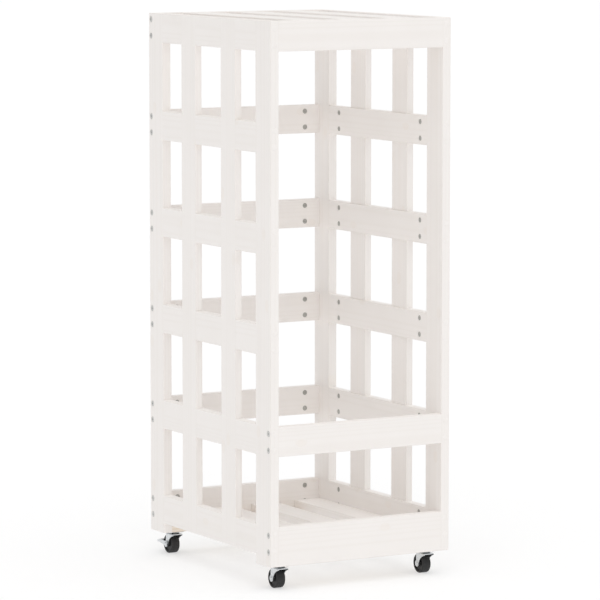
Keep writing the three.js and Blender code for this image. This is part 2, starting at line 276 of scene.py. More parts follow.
def choose(piece, kind, wanted):
    """Opens a piece in edit mode with the faces or the edges selected that pass a test."""
    only(piece)
    bpy.ops.object.mode_set(mode="EDIT")
    bpy.ops.mesh.select_mode(type=kind)
    bpy.ops.mesh.select_all(action="DESELECT")
    bpy.ops.object.mode_set(mode="OBJECT")
    for element in piece.data.polygons if kind == "FACE" else piece.data.edges:
        element.select = wanted(element)
    bpy.ops.object.mode_set(mode="EDIT")


def choose_faces(piece, wanted):
    """Selects the faces whose middle and normal pass a test."""
    choose(piece, "FACE", lambda face: wanted(face.center, face.normal))


def choose_edges(piece, wanted):
    """Selects the edges whose two ends pass a test."""
    choose(piece, "EDGE", lambda edge: wanted(*(piece.data.vertices[i].co for i in edge.vertices)))


def round_edges(piece, wanted, radius, segments=4):
    """Rounds the edges whose two ends pass a test."""
    choose_edges(piece, wanted)
    bpy.ops.mesh.bevel(offset=radius, segments=segments, affect="EDGES")
    bpy.ops.object.mode_set(mode="OBJECT")


def turn(name, sides, lower, upper):
    """A piece turned about Z. lower and upper list the radius and height of each ridge, in
    millimetres, from the barrel's two ends inwards to the middle of each end."""
    only()
    (barrel, bottom), top = lower[0], upper[0][1]
    bpy.ops.mesh.primitive_cylinder_add(
        vertices=sides,
        radius=barrel * MM,
        depth=(top - bottom) * MM,
        location=Z * (top + bottom) / 2 * MM,
    )
    piece = named(name)
    for outward, ridges in ((-1, lower), (1, upper)):
        choose_faces(piece, lambda middle, normal: normal.z * outward > 0.9)
        for (radius, height), (next_radius, next_height) in zip(ridges, ridges[1:]):
            rise = Z * (next_height - height) * MM
            bpy.ops.mesh.extrude_region_move(TRANSFORM_OT_translate={"value": rise})
            share = next_radius / radius
            bpy.ops.transform.resize(value=(share, share, 1), center_override=(0, 0, 0))
    only(piece)
    return piece


def mirrored(ridges):
    """The ridges of a turned piece's other end."""
    return [(radius, -height) for radius, height in ridges]


def cross_sheet(name, outline, low_x, high_x):
    """A prism across X. Its outline lists points in the YZ plane, in millimetres."""
    return sheet(name, outline, low_x, high_x, Matrix((Y, Z, X)).transposed())


def flat_sheet(name, outline, low_z, high_z):
    """A prism up Z. Its outline lists points in the XY plane, in millimetres."""
    return sheet(name, outline, low_z, high_z, Matrix((X, Y, Z)).transposed())


def sheet(name, outline, low, high, axes):
    """A flat filled curve, given its thickness between two heights and made a mesh."""
    only()
    bpy.ops.curve.primitive_bezier_curve_add()
    piece = bpy.context.object
    piece.name = name
    curve = piece.data
    curve.splines.clear()
    curve.dimensions = "2D"
    curve.fill_mode = "BOTH"
    curve.extrude = (high - low) / 2 * MM
    spline = curve.splines.new("POLY")
    spline.points.add(len(outline) - 1)
    for point, (across, up) in zip(spline.points, outline):
        point.co = (across * MM, up * MM, 0, 1)
    spline.use_cyclic_u = True
    bpy.ops.object.convert(target="MESH")
    piece = bpy.context.object
    piece.data.name = name
    piece.matrix_world = axes.to_4x4() @ Matrix.Translation(Z * (high + low) / 2 * MM)
    settle(piece)
    bpy.ops.object.mode_set(mode="EDIT")
    bpy.ops.mesh.select_all(action="SELECT")
    bpy.ops.mesh.remove_doubles(threshold=TINY)
    bpy.ops.mesh.normals_make_consistent(inside=False)
    bpy.ops.object.mode_set(mode="OBJECT")
    return piece


def arc(middle, radius, start, end, steps=10):
    """Points along an arc between two angles in degrees."""
    turns = [math.radians(start + (end - start) * i / steps) for i in range(steps + 1)]
    return [(middle[0] + radius * math.cos(t), middle[1] + radius * math.sin(t)) for t in turns]


def bow(start, pull, end, steps=8):
    """Points along a curve that leaves start and reaches end, pulled towards a third point."""
    points = []
    for i in range(steps + 1):
        t = i / steps
        weights = ((1 - t) ** 2, 2 * t * (1 - t), t * t)
        points.append(
            tuple(sum(w * p[axis] for w, p in zip(weights, (start, pull, end))) for axis in (0, 1))
        )
    return points


def rounded_rectangle(low, high, radius):
    """A rectangle's outline between two corners, with its corners rounded."""
    outline = []
    corners = ((high, high, 0), (low, high, 90), (low, low, 180), (high, low, 270))
    for x_from, y_from, start in corners:
        middle = (
            x_from[0] + (radius if x_from is low else -radius),
            y_from[1] + (radius if y_from is low else -radius),
        )
        outline += arc(middle, radius, start, start + 90, 5)
    return outline


def combine(piece, other, operation):
    """Cuts a piece with another, or joins the two into one solid. The other is used up."""
    modifier = piece.modifiers.new("combine", "BOOLEAN")
    modifier.operation = operation
    modifier.solver = "MANIFOLD"
    modifier.object = other
    only(piece)
    bpy.ops.object.modifier_apply(modifier=modifier.name)
    bpy.data.objects.remove(other, do_unlink=True)
    return piece


def set_on(point, outward, along=None):
    """A place with local Z pointing outward at a point, and local X along a direction."""
    out = Vector(outward).normalized()
    run = Vector(along) if along else out.orthogonal()
    run = (run - out * run.dot(out)).normalized()
    turned = Matrix((run, out.cross(run), out)).transposed().to_4x4()
    return Matrix.Translation(point) @ turned


def spread(model, name, places):
    """Copies a model to every place and joins the copies into one piece."""
    copies = []
    for place in places:
        copy = model.copy()
        copy.data = model.data.copy()
        copy.data.transform(place)
        bpy.context.scene.collection.objects.link(copy)
        copies.append(copy)
    only(copies[0])
    for copy in copies:
        copy.select_set(True)
    if len(copies) > 1:
        bpy.ops.object.join()
    piece = bpy.context.object
    piece.name = name
    piece.data.name = name
    return piece


def discard(model):
    """Removes a model once its copies are made."""
    bpy.data.objects.remove(model, do_unlink=True)


def bore(piece, sides, ridges, places):
    """Drills a piece at every place. Ridges are the drill's radii and heights, mouth first."""
    mouth = [(ridges[0][0], OVERSHOOT / MM)]
    drill = turn("drill", sides, ridges, mouth)
    combine(piece, spread(drill, "drills", places), "DIFFERENCE")
    discard(drill)


def smooth(piece, degrees=35):
    """Shades flat faces flat and the rounded edges between them smooth."""
    only(piece)
    bpy.ops.object.shade_smooth_by_angle(angle=math.radians(degrees))
    modifier = piece.modifiers.new("weighted", "WEIGHTED_NORMAL")
    modifier.keep_sharp = True
    bpy.ops.object.modifier_apply(modifier=modifier.name)


def deliver(piece, body, finishes, nodes=()):
    """Gives a finished piece its materials and its body, and hides the frame nodes that it stands
    for.
    """
    piece.data.materials.clear()
    for material in finishes:
        piece.data.materials.append(material)
    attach(piece, body)
    if nodes:
        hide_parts(*nodes)


# ---- materials ----


def add_node(tree, kind, inputs=None, **settings):
    """Adds a node with its settings, and gives each input a value or a link from a socket."""
    node = tree.nodes.new(kind)
    for setting, value in settings.items():
        setattr(node, setting, value)
    for key, value in (inputs or {}).items():
        if isinstance(value, bpy.types.NodeSocket):
            tree.links.new(value, node.inputs[key])
        else:
            node.inputs[key].default_value = value
    return node


def new_material(name):
    """An empty node material and its tree."""
    material = bpy.data.materials.new(name)
    material.use_nodes = True
    material.node_tree.nodes.clear()
    return material, material.node_tree


def per_metre(millimetres):
    """A noise scale whose features are this many millimetres across."""
    return 1 / (millimetres * MM)


def wave_scale(millimetres):
    """A wave texture's scale for rings this many millimetres apart. The texture repeats every
    full turn of twenty times its scaled distance."""
    return math.tau / (20 * millimetres * MM)


def pine_figure(tree):
    """The figure of a sawn pine plank, from where each point lies in it: the growth rings, drawn
    out along the board, and knots through its thickness. Returns plank, rings and knots."""
    cell_mm, knot_mm, heart_mm, plain_share = 78, 10, 5, 0.62
    plank = add_node(tree, "ShaderNodeAttribute", attribute_name="plank").outputs["Vector"]
    along = add_node(
        tree, "ShaderNodeMapping", {"Vector": plank, "Scale": (0.62, 1, 1)}
    ).outputs["Vector"]
    cells = add_node(
        tree,
        "ShaderNodeTexVoronoi",
        {"Vector": along, "Scale": per_metre(cell_mm)},
        voronoi_dimensions="2D",
    )
    near = add_node(
        tree,
        "ShaderNodeMapRange",
        {"Value": cells.outputs["Distance"], 1: knot_mm / cell_mm, 2: heart_mm / cell_mm},
        interpolation_type="SMOOTHSTEP",
    )
    lot = add_node(tree, "ShaderNodeSeparateColor", {"Color": cells.outputs["Color"]})
    kept = add_node(
        tree, "ShaderNodeMath", {0: lot.outputs["Red"], 1: plain_share}, operation="GREATER_THAN"
    )
    knots = add_node(
        tree, "ShaderNodeMath", {0: near.outputs[0], 1: kept.outputs[0]}, operation="MULTIPLY"
    ).outputs[0]
    drawn_out = add_node(
        tree, "ShaderNodeMapping", {"Vector": plank, "Scale": (0.05, 1, 1)}
    ).outputs["Vector"]
    bulge = add_node(tree, "ShaderNodeMath", {0: knots, 1: 7.0}, operation="MULTIPLY").outputs[0]
    rings = add_node(
        tree,
        "ShaderNodeTexWave",
        {
            "Vector": drawn_out,
            "Scale": wave_scale(5.5),
            "Distortion": 7.0,
            "Detail": 2.0,
            "Detail Scale": 0.25,
            "Phase Offset": bulge,
        },
        wave_type="RINGS",
        rings_direction="X",
    ).outputs["Fac"]
    return plank, rings, knots


def painted_pine(settings):
    """Pine under two coats of satin acrylic paint, laid on with a brush: even white, with the
    hard rings just standing through it, a faint yellow bloom over knots and thinner paint on the
    sanded edges and the thirsty end grain."""
    material, tree = new_material("painted_pine_satin_white")
    plank, rings, knots = pine_figure(tree)
    hard_rings = add_node(tree, "ShaderNodeMath", {0: rings, 1: 3.0}, operation="POWER").outputs[0]
    cloud = add_node(
        tree, "ShaderNodeTexNoise", {"Vector": plank, "Scale": per_metre(90), "Detail": 2.0}
    ).outputs["Fac"]
    brush_run = add_node(
        tree, "ShaderNodeMapping", {"Vector": plank, "Scale": (0.04, 1, 1)}
    ).outputs["Vector"]
    brush = add_node(
        tree, "ShaderNodeTexNoise", {"Vector": brush_run, "Scale": per_metre(0.9), "Detail": 3.0}
    ).outputs["Fac"]
    peel = add_node(
        tree, "ShaderNodeTexNoise", {"Vector": plank, "Scale": per_metre(1.6), "Detail": 1.0}
    ).outputs["Fac"]
    arris = add_node(tree, "ShaderNodeAttribute", attribute_name="arris").outputs["Fac"]
    end_grain = add_node(tree, "ShaderNodeAttribute", attribute_name="end_grain").outputs["Fac"]

    shade = 0.0
    for part, depth in ((hard_rings, 0.16), (cloud, 0.3), (arris, 0.3), (end_grain, 0.3)):
        shade = add_node(
            tree, "ShaderNodeMath", {0: part, 1: depth, 2: shade}, operation="MULTIPLY_ADD"
        ).outputs[0]
    shaded = add_node(
        tree,
        "ShaderNodeMix",
        {0: shade, MIX_A: settings.paint, MIX_B: settings.paint_shade},
        data_type="RGBA",
    ).outputs[MIX_RESULT]
    bloom = add_node(tree, "ShaderNodeMath", {0: knots, 1: 0.14}, operation="MULTIPLY").outputs[0]
    coat = add_node(
        tree,
        "ShaderNodeMix",
        {0: bloom, MIX_A: shaded, MIX_B: settings.knot_bleed},
        data_type="RGBA",
    ).outputs[MIX_RESULT]

    gloss = add_node(
        tree, "ShaderNodeMapRange", {"Value": brush, 1: 0.3, 2: 0.7, 3: 0.42, 4: 0.54}
    ).outputs[0]
    roughness = add_node(
        tree, "ShaderNodeMath", {0: end_grain, 1: 0.18, 2: gloss}, operation="MULTIPLY_ADD"
    ).outputs[0]
    relief = hard_rings
    for part, height in ((brush, 0.35), (peel, 0.3), (knots, 0.4)):
        relief = add_node(
            tree, "ShaderNodeMath", {0: part, 1: height, 2: relief}, operation="MULTIPLY_ADD"
        ).outputs[0]
    bump = add_node(
        tree, "ShaderNodeBump", {"Height": relief, "Strength": 0.35, "Distance": 0.08 * MM}
    ).outputs["Normal"]
    shader = add_node(
        tree,
        "ShaderNodeBsdfPrincipled",
        {"Base Color": coat, "Roughness": roughness, "Normal": bump},
    )
    add_node(tree, "ShaderNodeOutputMaterial", {"Surface": shader.outputs["BSDF"]})
    return material


def plain_pine(settings):
    """Planed pine with no finish: pale early wood, darker late rings in long flames, brown knots
    and a dry, fibrous surface with hardly any shine."""
    material, tree = new_material("plain_pine_planed")
    plank, rings, knots = pine_figure(tree)
    late = add_node(tree, "ShaderNodeMath", {0: rings, 1: 2.2}, operation="POWER").outputs[0]
    fibre_run = add_node(
        tree, "ShaderNodeMapping", {"Vector": plank, "Scale": (0.03, 1, 1)}
    ).outputs["Vector"]
    fibre = add_node(
        tree, "ShaderNodeTexNoise", {"Vector": fibre_run, "Scale": per_metre(0.8), "Detail": 4.0}
    ).outputs["Fac"]
    streaked = add_node(
        tree, "ShaderNodeMath", {0: late, 1: fibre}, operation="MULTIPLY"
    ).outputs[0]
    sapwood = add_node(
        tree,
        "ShaderNodeMix",
        {0: streaked, MIX_A: settings.early_wood, MIX_B: settings.late_wood},
        data_type="RGBA",
    ).outputs[MIX_RESULT]
    end_grain = add_node(tree, "ShaderNodeAttribute", attribute_name="end_grain").outputs["Fac"]
    soaked = add_node(
        tree, "ShaderNodeMath", {0: end_grain, 1: 0.25}, operation="MULTIPLY"
    ).outputs[0]
    wood = add_node(
        tree,
        "ShaderNodeMix",
        {0: soaked, MIX_A: sapwood, MIX_B: settings.late_wood},
        data_type="RGBA",
    ).outputs[MIX_RESULT]
    knotty = add_node(
        tree,
        "ShaderNodeMix",
        {0: knots, MIX_A: wood, MIX_B: settings.knot_wood},
        data_type="RGBA",
    ).outputs[MIX_RESULT]
    roughness = add_node(
        tree, "ShaderNodeMapRange", {"Value": fibre, 1: 0.3, 2: 0.7, 3: 0.62, 4: 0.78}
    ).outputs[0]
    relief = add_node(
        tree, "ShaderNodeMath", {0: fibre, 1: 0.8, 2: late}, operation="MULTIPLY_ADD"
    ).outputs[0]
    bump = add_node(
        tree, "ShaderNodeBump", {"Height": relief, "Strength": 0.5, "Distance": 0.1 * MM}
    ).outputs["Normal"]
    shader = add_node(
        tree,
        "ShaderNodeBsdfPrincipled",
        {"Base Color": knotty, "Roughness": roughness, "Normal": bump},
    )
    add_node(tree, "ShaderNodeOutputMaterial", {"Surface": shader.outputs["BSDF"]})
    return material


def plated_steel(name, tint, gloss):
    """Pressed or turned mild steel under a thin bright plating: a clean cool metal whose shine is
    broken into soft patches by the drawn surface below, with fine handling scratches."""
    material, tree = new_material(name)
    place = add_node(tree, "ShaderNodeTexCoord").outputs["Object"]
    patch = add_node(
        tree, "ShaderNodeTexNoise", {"Vector": place, "Scale": per_metre(3.5), "Detail": 3.0}
    ).outputs["Fac"]
    scratch_run = add_node(
        tree,
        "ShaderNodeMapping",
        {"Vector": place, "Scale": (1, 0.1, 1), "Rotation": (0.4, 0.2, 0.5)},
    ).outputs["Vector"]
    scratch = add_node(
        tree, "ShaderNodeTexNoise", {"Vector": scratch_run, "Scale": per_metre(0.35), "Detail": 2.0}
    ).outputs["Fac"]
    dullest = 0.82
    dull = tuple(channel * dullest for channel in tint[:3]) + (1,)
    plating = add_node(
        tree, "ShaderNodeMix", {0: patch, MIX_A: tint, MIX_B: dull}, data_type="RGBA"
    ).outputs[MIX_RESULT]
    roughness = add_node(
        tree,
        "ShaderNodeMapRange",
        {"Value": patch, 1: 0.3, 2: 0.7, 3: gloss, 4: gloss + 0.14},
    ).outputs[0]
    bump = add_node(
        tree, "ShaderNodeBump", {"Height": scratch, "Strength": 0.2, "Distance": 0.02 * MM}
    ).outputs["Normal"]
    shader = add_node(
        tree,
        "ShaderNodeBsdfPrincipled",
        {"Base Color": plating, "Metallic": 1.0, "Roughness": roughness, "Normal": bump},
    )
    add_node(tree, "ShaderNodeOutputMaterial", {"Surface": shader.outputs["BSDF"]})
    return material


def moulded_plastic(name, tint, dusty_tint, gloss, grain_mm, relief_mm):
    """Injection-moulded plastic or rubber: one colour all through, an even spark-eroded grain
    from the mould, and a breath of dust that lightens it in soft patches."""
    material, tree = new_material(name)
    place = add_node(tree, "ShaderNodeTexCoord").outputs["Object"]
    dust = add_node(
        tree, "ShaderNodeTexNoise", {"Vector": place, "Scale": per_metre(6), "Detail": 4.0}
    ).outputs["Fac"]
    grain = add_node(
        tree, "ShaderNodeTexNoise", {"Vector": place, "Scale": per_metre(grain_mm), "Detail": 2.0}
    ).outputs["Fac"]
    film = add_node(
        tree, "ShaderNodeMapRange", {"Value": dust, 1: 0.4, 2: 0.75, 3: 0.0, 4: 0.5}
    ).outputs[0]
    skin = add_node(
        tree, "ShaderNodeMix", {0: film, MIX_A: tint, MIX_B: dusty_tint}, data_type="RGBA"
    ).outputs[MIX_RESULT]
    roughness = add_node(
        tree, "ShaderNodeMapRange", {"Value": dust, 1: 0.3, 2: 0.7, 3: gloss, 4: gloss + 0.15}
    ).outputs[0]
    bump = add_node(
        tree, "ShaderNodeBump", {"Height": grain, "Strength": 0.3, "Distance": relief_mm * MM}
    ).outputs["Normal"]
    shader = add_node(
        tree,
        "ShaderNodeBsdfPrincipled",
        {"Base Color": skin, "Roughness": roughness, "Normal": bump},
    )
    add_node(tree, "ShaderNodeOutputMaterial", {"Surface": shader.outputs["BSDF"]})
    return material


made_finishes = {}


def finish(kind):
    """The material of one kind, made the first time that a piece asks for it."""
    wood, steel, wheel = timber(), fasteners(), casters()
    makers = {
        "painted_pine": lambda: painted_pine(wood),
        "plain_pine": lambda: plain_pine(wood),
        "bolt": lambda: plated_steel("nickel_plated_bolt_steel", steel.bolt_steel, 0.3),
        "nut": lambda: plated_steel("zinc_plated_nut_steel", steel.nut_steel, 0.38),
        "screw": lambda: plated_steel("yellow_zinc_screw_steel", steel.screw_steel, 0.32),
        "cap": lambda: moulded_plastic(
            "white_polypropylene_cap", steel.cap_white, wood.paint_shade, 0.38, 0.5, 0.02
        ),
        "zinc": lambda: plated_steel("bright_zinc_pressed_steel", wheel.zinc, 0.24),
        "tyre": lambda: moulded_plastic(
            "black_rubber_tyre", wheel.tyre, wheel.tyre_dust, 0.52, 0.4, 0.04
        ),
        "core": lambda: moulded_plastic(
            "black_nylon_wheel_core", wheel.core, wheel.core_dust, 0.4, 0.3, 0.02
        ),
    }
    if kind not in made_finishes:
        made_finishes[kind] = makers[kind]()
    return made_finishes[kind]


# ---- boards ----


def overlap(low, high, other_low, other_high):
    """Whether two boxes share any space."""
    return all(low[i] <= other_high[i] and high[i] >= other_low[i] for i in range(3))


def neighbours(node):
    """The boxes of the boards that a board meets, each a hair larger than its board."""
    low, high = BOARD_BOXES[node]
    reach = OVERSHOOT / 2
    near = []
    for other, (other_low, other_high) in BOARD_BOXES.items():
        grown_low = [part - reach for part in other_low]
        grown_high = [part + reach for part in other_high]
        if other != node and overlap(low, high, grown_low, grown_high):
            near.append((grown_low, grown_high))
    return near


def ease_board(board, node):
    """Sands a board's edges: a full radius where an edge stands free along its length, and a
    touch where it meets another board, so that joints stay tight."""
    settings = timber()
    margin, steps = 0.06, 23
    samples = [margin + (1 - 2 * margin) * i / steps for i in range(steps + 1)]
    near = neighbours(node)
    points = [vertex.co.copy() for vertex in board.data.vertices]
    weights = board.data.attributes.new("bevel_weight_edge", "FLOAT", "EDGE")
    for edge, weight in zip(board.data.edges, weights.data):
        start, end = (points[i] for i in edge.vertices)
        spots = [start.lerp(end, share) for share in samples]
        meets = any(overlap(spot, spot, *box) for spot in spots for box in near)
        weight.value = settings.joint_ease / settings.open_ease if meets else 1.0
    modifier = board.modifiers.new("ease", "BEVEL")
    modifier.limit_method = "WEIGHT"
    modifier.width = settings.open_ease
    modifier.segments = 3
    only(board)
    bpy.ops.object.modifier_apply(modifier=modifier.name)
    board.data.attributes.remove(board.data.attributes["bevel_weight_edge"])


def mark_grain(board, node):
    """Stores what the wood's finish reads: where each point lies in the plank that the board was
    sawn from, with X along the grain and the pith near the axis, and which faces are sanded
    edges or end grain."""
    low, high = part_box(node)
    size = high - low
    order = sorted(range(3), key=lambda axis: -size[axis])
    dice = random.Random(node)
    along = dice.uniform(0, 9)
    across = dice.uniform(-25, 25) * MM
    from_pith = dice.uniform(28, 60) * MM
    offset = Vector((along, across, from_pith))
    middle = (low + high) / 2
    plank = board.data.attributes.new("plank", "FLOAT_VECTOR", "POINT")
    for vertex, place in zip(board.data.vertices, plank.data):
        from_middle = vertex.co - middle
        place.vector = Vector([from_middle[axis] for axis in order]) + offset
    arris = board.data.attributes.new("arris", "FLOAT", "FACE")
    end_grain = board.data.attributes.new("end_grain", "FLOAT", "FACE")
    for face, edge_value, end_value in zip(board.data.polygons, arris.data, end_grain.data):
        steepest = max(abs(part) for part in face.normal)
        edge_value.value = 1.0 if steepest < FLAT else 0.0
        end_value.value = 1.0 if abs(face.normal[order[0]]) > FLAT else 0.0


def make_board(node, kind="painted_pine", laps=(), bores=()):
    """Models one board over its frame node: sawn to size, halved, sanded, drilled and finished."""
    low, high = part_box(node)
    board = start_box(f"{node}_timber", low, high)
    for lap_low, lap_high in laps:
        combine(board, start_box("lap", lap_low, lap_high), "DIFFERENCE")
    ease_board(board, node)
    for sides, ridges, places in bores:
        bore(board, sides, ridges, places)
    mark_grain(board, node)
    smooth(board)
    deliver(board, "rack", [finish(kind)], [node])
    return board


def bolt_heights(node):
    """The two heights at which bolts enter a board that runs between panels or posts."""
    settings = fasteners()
    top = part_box(node)[1].z
    drop = settings.low_pair_drop if node == "front_bottom_board" else board_width() / 2
    middle = top - drop
    return (middle - settings.pair_reach, middle + settings.pair_reach)


def board_width():
    """The width of the stock that the rack is built from."""
    low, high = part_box("front_top_board")
    return high.z - low.z


def board_thickness():
    """The thickness of the stock that the rack is built from."""
    low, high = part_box("front_top_board")
    return high.y - low.y


def hole_radius(diameter):
    """The radius in millimetres of a hole for a shank, nut or head of this diameter."""
    return (diameter + fasteners().hole_play) / 2 / MM


def depth_of_head():
    """How deep a panel bolt's counterbore goes, in millimetres."""
    settings = fasteners()
    return (settings.head_sink + settings.head_height) / MM


def panel_bolt_places(side, end):
    """Where panel bolts enter a post's outer face, one pair for each cross board."""
    low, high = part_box(f"{side}_{end}_post")
    outward = X * SIDES[side]
    outer = high.x if SIDES[side] > 0 else low.x
    boards = [f"back_rail_{row}" for row in ROWS] if end == "rear" else BOLTED_FRONT_BOARDS
    places = []
    for board in boards:
        board_low, board_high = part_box(board)
        middle = (board_low.y + board_high.y) / 2
        for height in bolt_heights(board):
            places.append(set_on((outer, middle, height), outward))
    return places


def frame_bolt_places(side, end):
    """Where frame bolts enter a post's narrow face, one pair for each side rail."""
    low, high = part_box(f"{side}_{end}_post")
    outward = Y if end == "rear" else -Y
    face = high.y if end == "rear" else low.y
    middle = (low.x + high.x) / 2
    return [
        set_on((middle, face, height), outward)
        for row in ROWS
        for height in bolt_heights(f"{side}_rail_{row}")
    ]


def frame_head_depth(end):
    """How deep a frame bolt's head lies in its post, in millimetres."""
    settings = fasteners()
    reach = settings.front_reach if end == "front" else settings.rear_reach
    return (board_width() + reach - settings.grip) / MM


def post_bores(side, end):
    """The drillings of one post: counterbored panel bolt holes and deep frame bolt holes."""
    settings = fasteners()
    low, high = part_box(f"{side}_{end}_post")
    shank = hole_radius(settings.shank_diameter)
    head = hole_radius(settings.head_diameter)
    through = (high.x - low.x + OVERSHOOT) / MM
    panel = [(head + 0.3, MOUTH_MM), (head, -0.3), (head, -depth_of_head())]
    panel += [(shank, -depth_of_head()), (shank, -through)]
    cap = settings.cap_diameter / 2 / MM + 0.05
    depth = frame_head_depth(end)
    edge_through = (board_width() + OVERSHOOT) / MM
    edge = [(cap, MOUTH_MM), (cap, -depth), (shank, -depth), (shank, -edge_through)]
    return [
        (32, panel, panel_bolt_places(side, end)),
        (32, edge, frame_bolt_places(side, end)),
    ]


def end_holes(node, axis, ends, reaches):
    """Shank holes drilled into a board's ends, each a little past its barrel nut."""
    settings = fasteners()
    low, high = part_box(node)
    middle = (low + high) / 2
    shank = hole_radius(settings.shank_diameter)
    found = []
    for outward, reach in zip(ends, reaches):
        depth = (reach + settings.nut_diameter) / MM
        places = []
        for height in bolt_heights(node):
            mouth = middle.copy()
            mouth[axis] = high[axis] if outward > 0 else low[axis]
            mouth.z = height
            direction = Vector([outward if i == axis else 0 for i in range(3)])
            places.append(set_on(mouth, direction))
        found.append((20, [(shank, MOUTH_MM), (shank, -depth)], places))
    return found


def nut_places(node, axis, outward, reaches):
    """Where barrel nuts enter a board's face, with their cross holes along the board."""
    low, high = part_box(node)
    face_axis = 1 - axis
    face = high[face_axis] if outward[face_axis] > 0 else low[face_axis]
    run = X if axis == 0 else Y
    places = []
    for along in (low[axis] + reaches[0], high[axis] - reaches[1]):
        for height in bolt_heights(node):
            point = Vector((0, 0, height))
            point[axis] = along
            point[face_axis] = face
            places.append(set_on(point, outward, run))
    return places


def nut_bore(places):
    """The blind holes that hold barrel nuts."""
    settings = fasteners()
    radius = settings.nut_diameter / 2 / MM + 0.15
    depth = (settings.nut_sink + settings.nut_length) / MM + 0.4
    ridges = [(radius + 0.25, MOUTH_MM), (radius, -0.25), (radius, -depth)]
    return (32, ridges, places)


def side_nut_places(side, row):
    settings = fasteners()
    inward = X * -SIDES[side]
    reaches = (settings.front_reach, settings.rear_reach)
    return nut_places(f"{side}_rail_{row}", 1, inward, reaches)


def cross_nut_places(node, inward):
    reach = fasteners().cross_reach
    return nut_places(node, 0, inward, (reach, reach))


def grown(low, high, growth):
    """A box's corners, moved out by a growth along each axis."""
    return low - Vector(growth), high + Vector(growth)


def rail_laps(side, row):
    """The cuts in a rail's outer face that let the slats through."""
    settings = timber()
    rail_low, rail_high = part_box(f"{side}_rail_{row}")
    laps = []
    for end in ENDS:
        low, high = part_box(f"{side}_slat_{end}")
        low, high = grown(low, high, (0, settings.lap_clearance, 0))
        low.z, high.z = rail_low.z - OVERSHOOT, rail_high.z + OVERSHOOT
        depth = settings.lap_depth + settings.lap_clearance
        if SIDES[side] < 0:
            low.x, high.x = rail_low.x - OVERSHOOT, rail_low.x + depth
        else:
            low.x, high.x = rail_high.x - depth, rail_high.x + OVERSHOOT
        laps.append((low, high))
    return laps


def slat_laps(side, end):
    """The cuts in a slat's inner face that let the rails pass."""
    settings = timber()
    slat_low, slat_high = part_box(f"{side}_slat_{end}")
    laps = []
    for row in ROWS:
        low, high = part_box(f"{side}_rail_{row}")
        low, high = grown(low, high, (0, 0, settings.lap_clearance))
        low.y, high.y = slat_low.y - OVERSHOOT, slat_high.y + OVERSHOOT
        if SIDES[side] < 0:
            low.x, high.x = slat_low.x + settings.lap_depth, slat_high.x + OVERSHOOT
        else:
            low.x, high.x = slat_low.x - OVERSHOOT, slat_high.x - settings.lap_depth
        laps.append((low, high))
    return laps


class LOGRACK_OT_posts(bpy.types.Operator):
    """Models the four posts of the side panels, drilled for their bolts"""

    bl_idname = "lograck.posts"
    bl_label = "Posts"

    def execute(self, context):
        for side, end in POSTS:
            make_board(f"{side}_{end}_post", bores=post_bores(side, end))
        return {"FINISHED"}


class LOGRACK_OT_side_rails(bpy.types.Operator):
    """Models the rails of the side panels, halved for the slats and drilled for barrel nuts"""

    bl_idname = "lograck.side_rails"
    bl_label = "Side rails"

    def execute(self, context):
        settings = fasteners()
        reaches = (settings.front_reach, settings.rear_reach)
        for side in SIDES:
            for row in ROWS:
                node = f"{side}_rail_{row}"
                bores = end_holes(node, 1, (-1, 1), reaches)
                bores.append(nut_bore(side_nut_places(side, row)))
                make_board(node, laps=rail_laps(side, row), bores=bores)
        return {"FINISHED"}


class LOGRACK_OT_side_slats(bpy.types.Operator):
    """Models the upright slats of the side panels, halved over the rails"""

    bl_idname = "lograck.side_slats"
    bl_label = "Side slats"

    def execute(self, context):
        for side, end in POSTS:
            make_board(f"{side}_slat_{end}", laps=slat_laps(side, end))
        return {"FINISHED"}


class LOGRACK_OT_front_boards(bpy.types.Operator):
    """Models the three boards across the front"""

    bl_idname = "lograck.front_boards"
    bl_label = "Front boards"

    def execute(self, context):
        reach = fasteners().cross_reach
        make_board("front_top_board")
        for node in BOLTED_FRONT_BOARDS:
            bores = end_holes(node, 0, (-1, 1), (reach, reach))
            bores.append(nut_bore(cross_nut_places(node, Y)))
            make_board(node, bores=bores)
        return {"FINISHED"}


class LOGRACK_OT_back_rails(bpy.types.Operator):
    """Models the rails across the back"""

    bl_idname = "lograck.back_rails"
    bl_label = "Back rails"

    def execute(self, context):
        reach = fasteners().cross_reach
        for row in ROWS:
            node = f"back_rail_{row}"
            bores = end_holes(node, 0, (-1, 1), (reach, reach))
            bores.append(nut_bore(cross_nut_places(node, -Y)))
            make_board(node, bores=bores)
        return {"FINISHED"}


def screw_bore(places):
    """Countersunk holes for wood screws, right through a board."""
    head = fasteners().screw_diameter / 2 / MM + 0.15
    shank, lip, through = 2.1, 0.35, 19
    ridges = [(head, MOUTH_MM), (head, -lip), (shank, shank - head - lip), (shank, -through)]
    return (24, ridges, places)


def roof_screw_places(end):
    """Screws up through a roof cleat, one into each roof slat."""
    low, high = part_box(f"roof_cleat_{end}")
    middle = (low.y + high.y) / 2
    places = []
    for slat in ROOF_SLATS:
        slat_low, slat_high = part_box(f"roof_slat_{slat}")
        places.append(set_on(((slat_low.x + slat_high.x) / 2, middle, low.z), -Z))
    return places


def cleat_screw_places(end):
    """Screws through a roof cleat into the front board or the back rail, between the slats."""
    low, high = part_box(f"roof_cleat_{end}")
    outward = Y if end == "front" else -Y
    face = high.y if end == "front" else low.y
    height = (low.z + high.z) / 2
    slat_low, slat_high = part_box("roof_slat_middle")
    inset = 24 * MM
    spots = (low.x + inset, slat_low.x - inset, slat_high.x + inset, high.x - inset)
    return [set_on((spot, face, height), outward) for spot in spots]


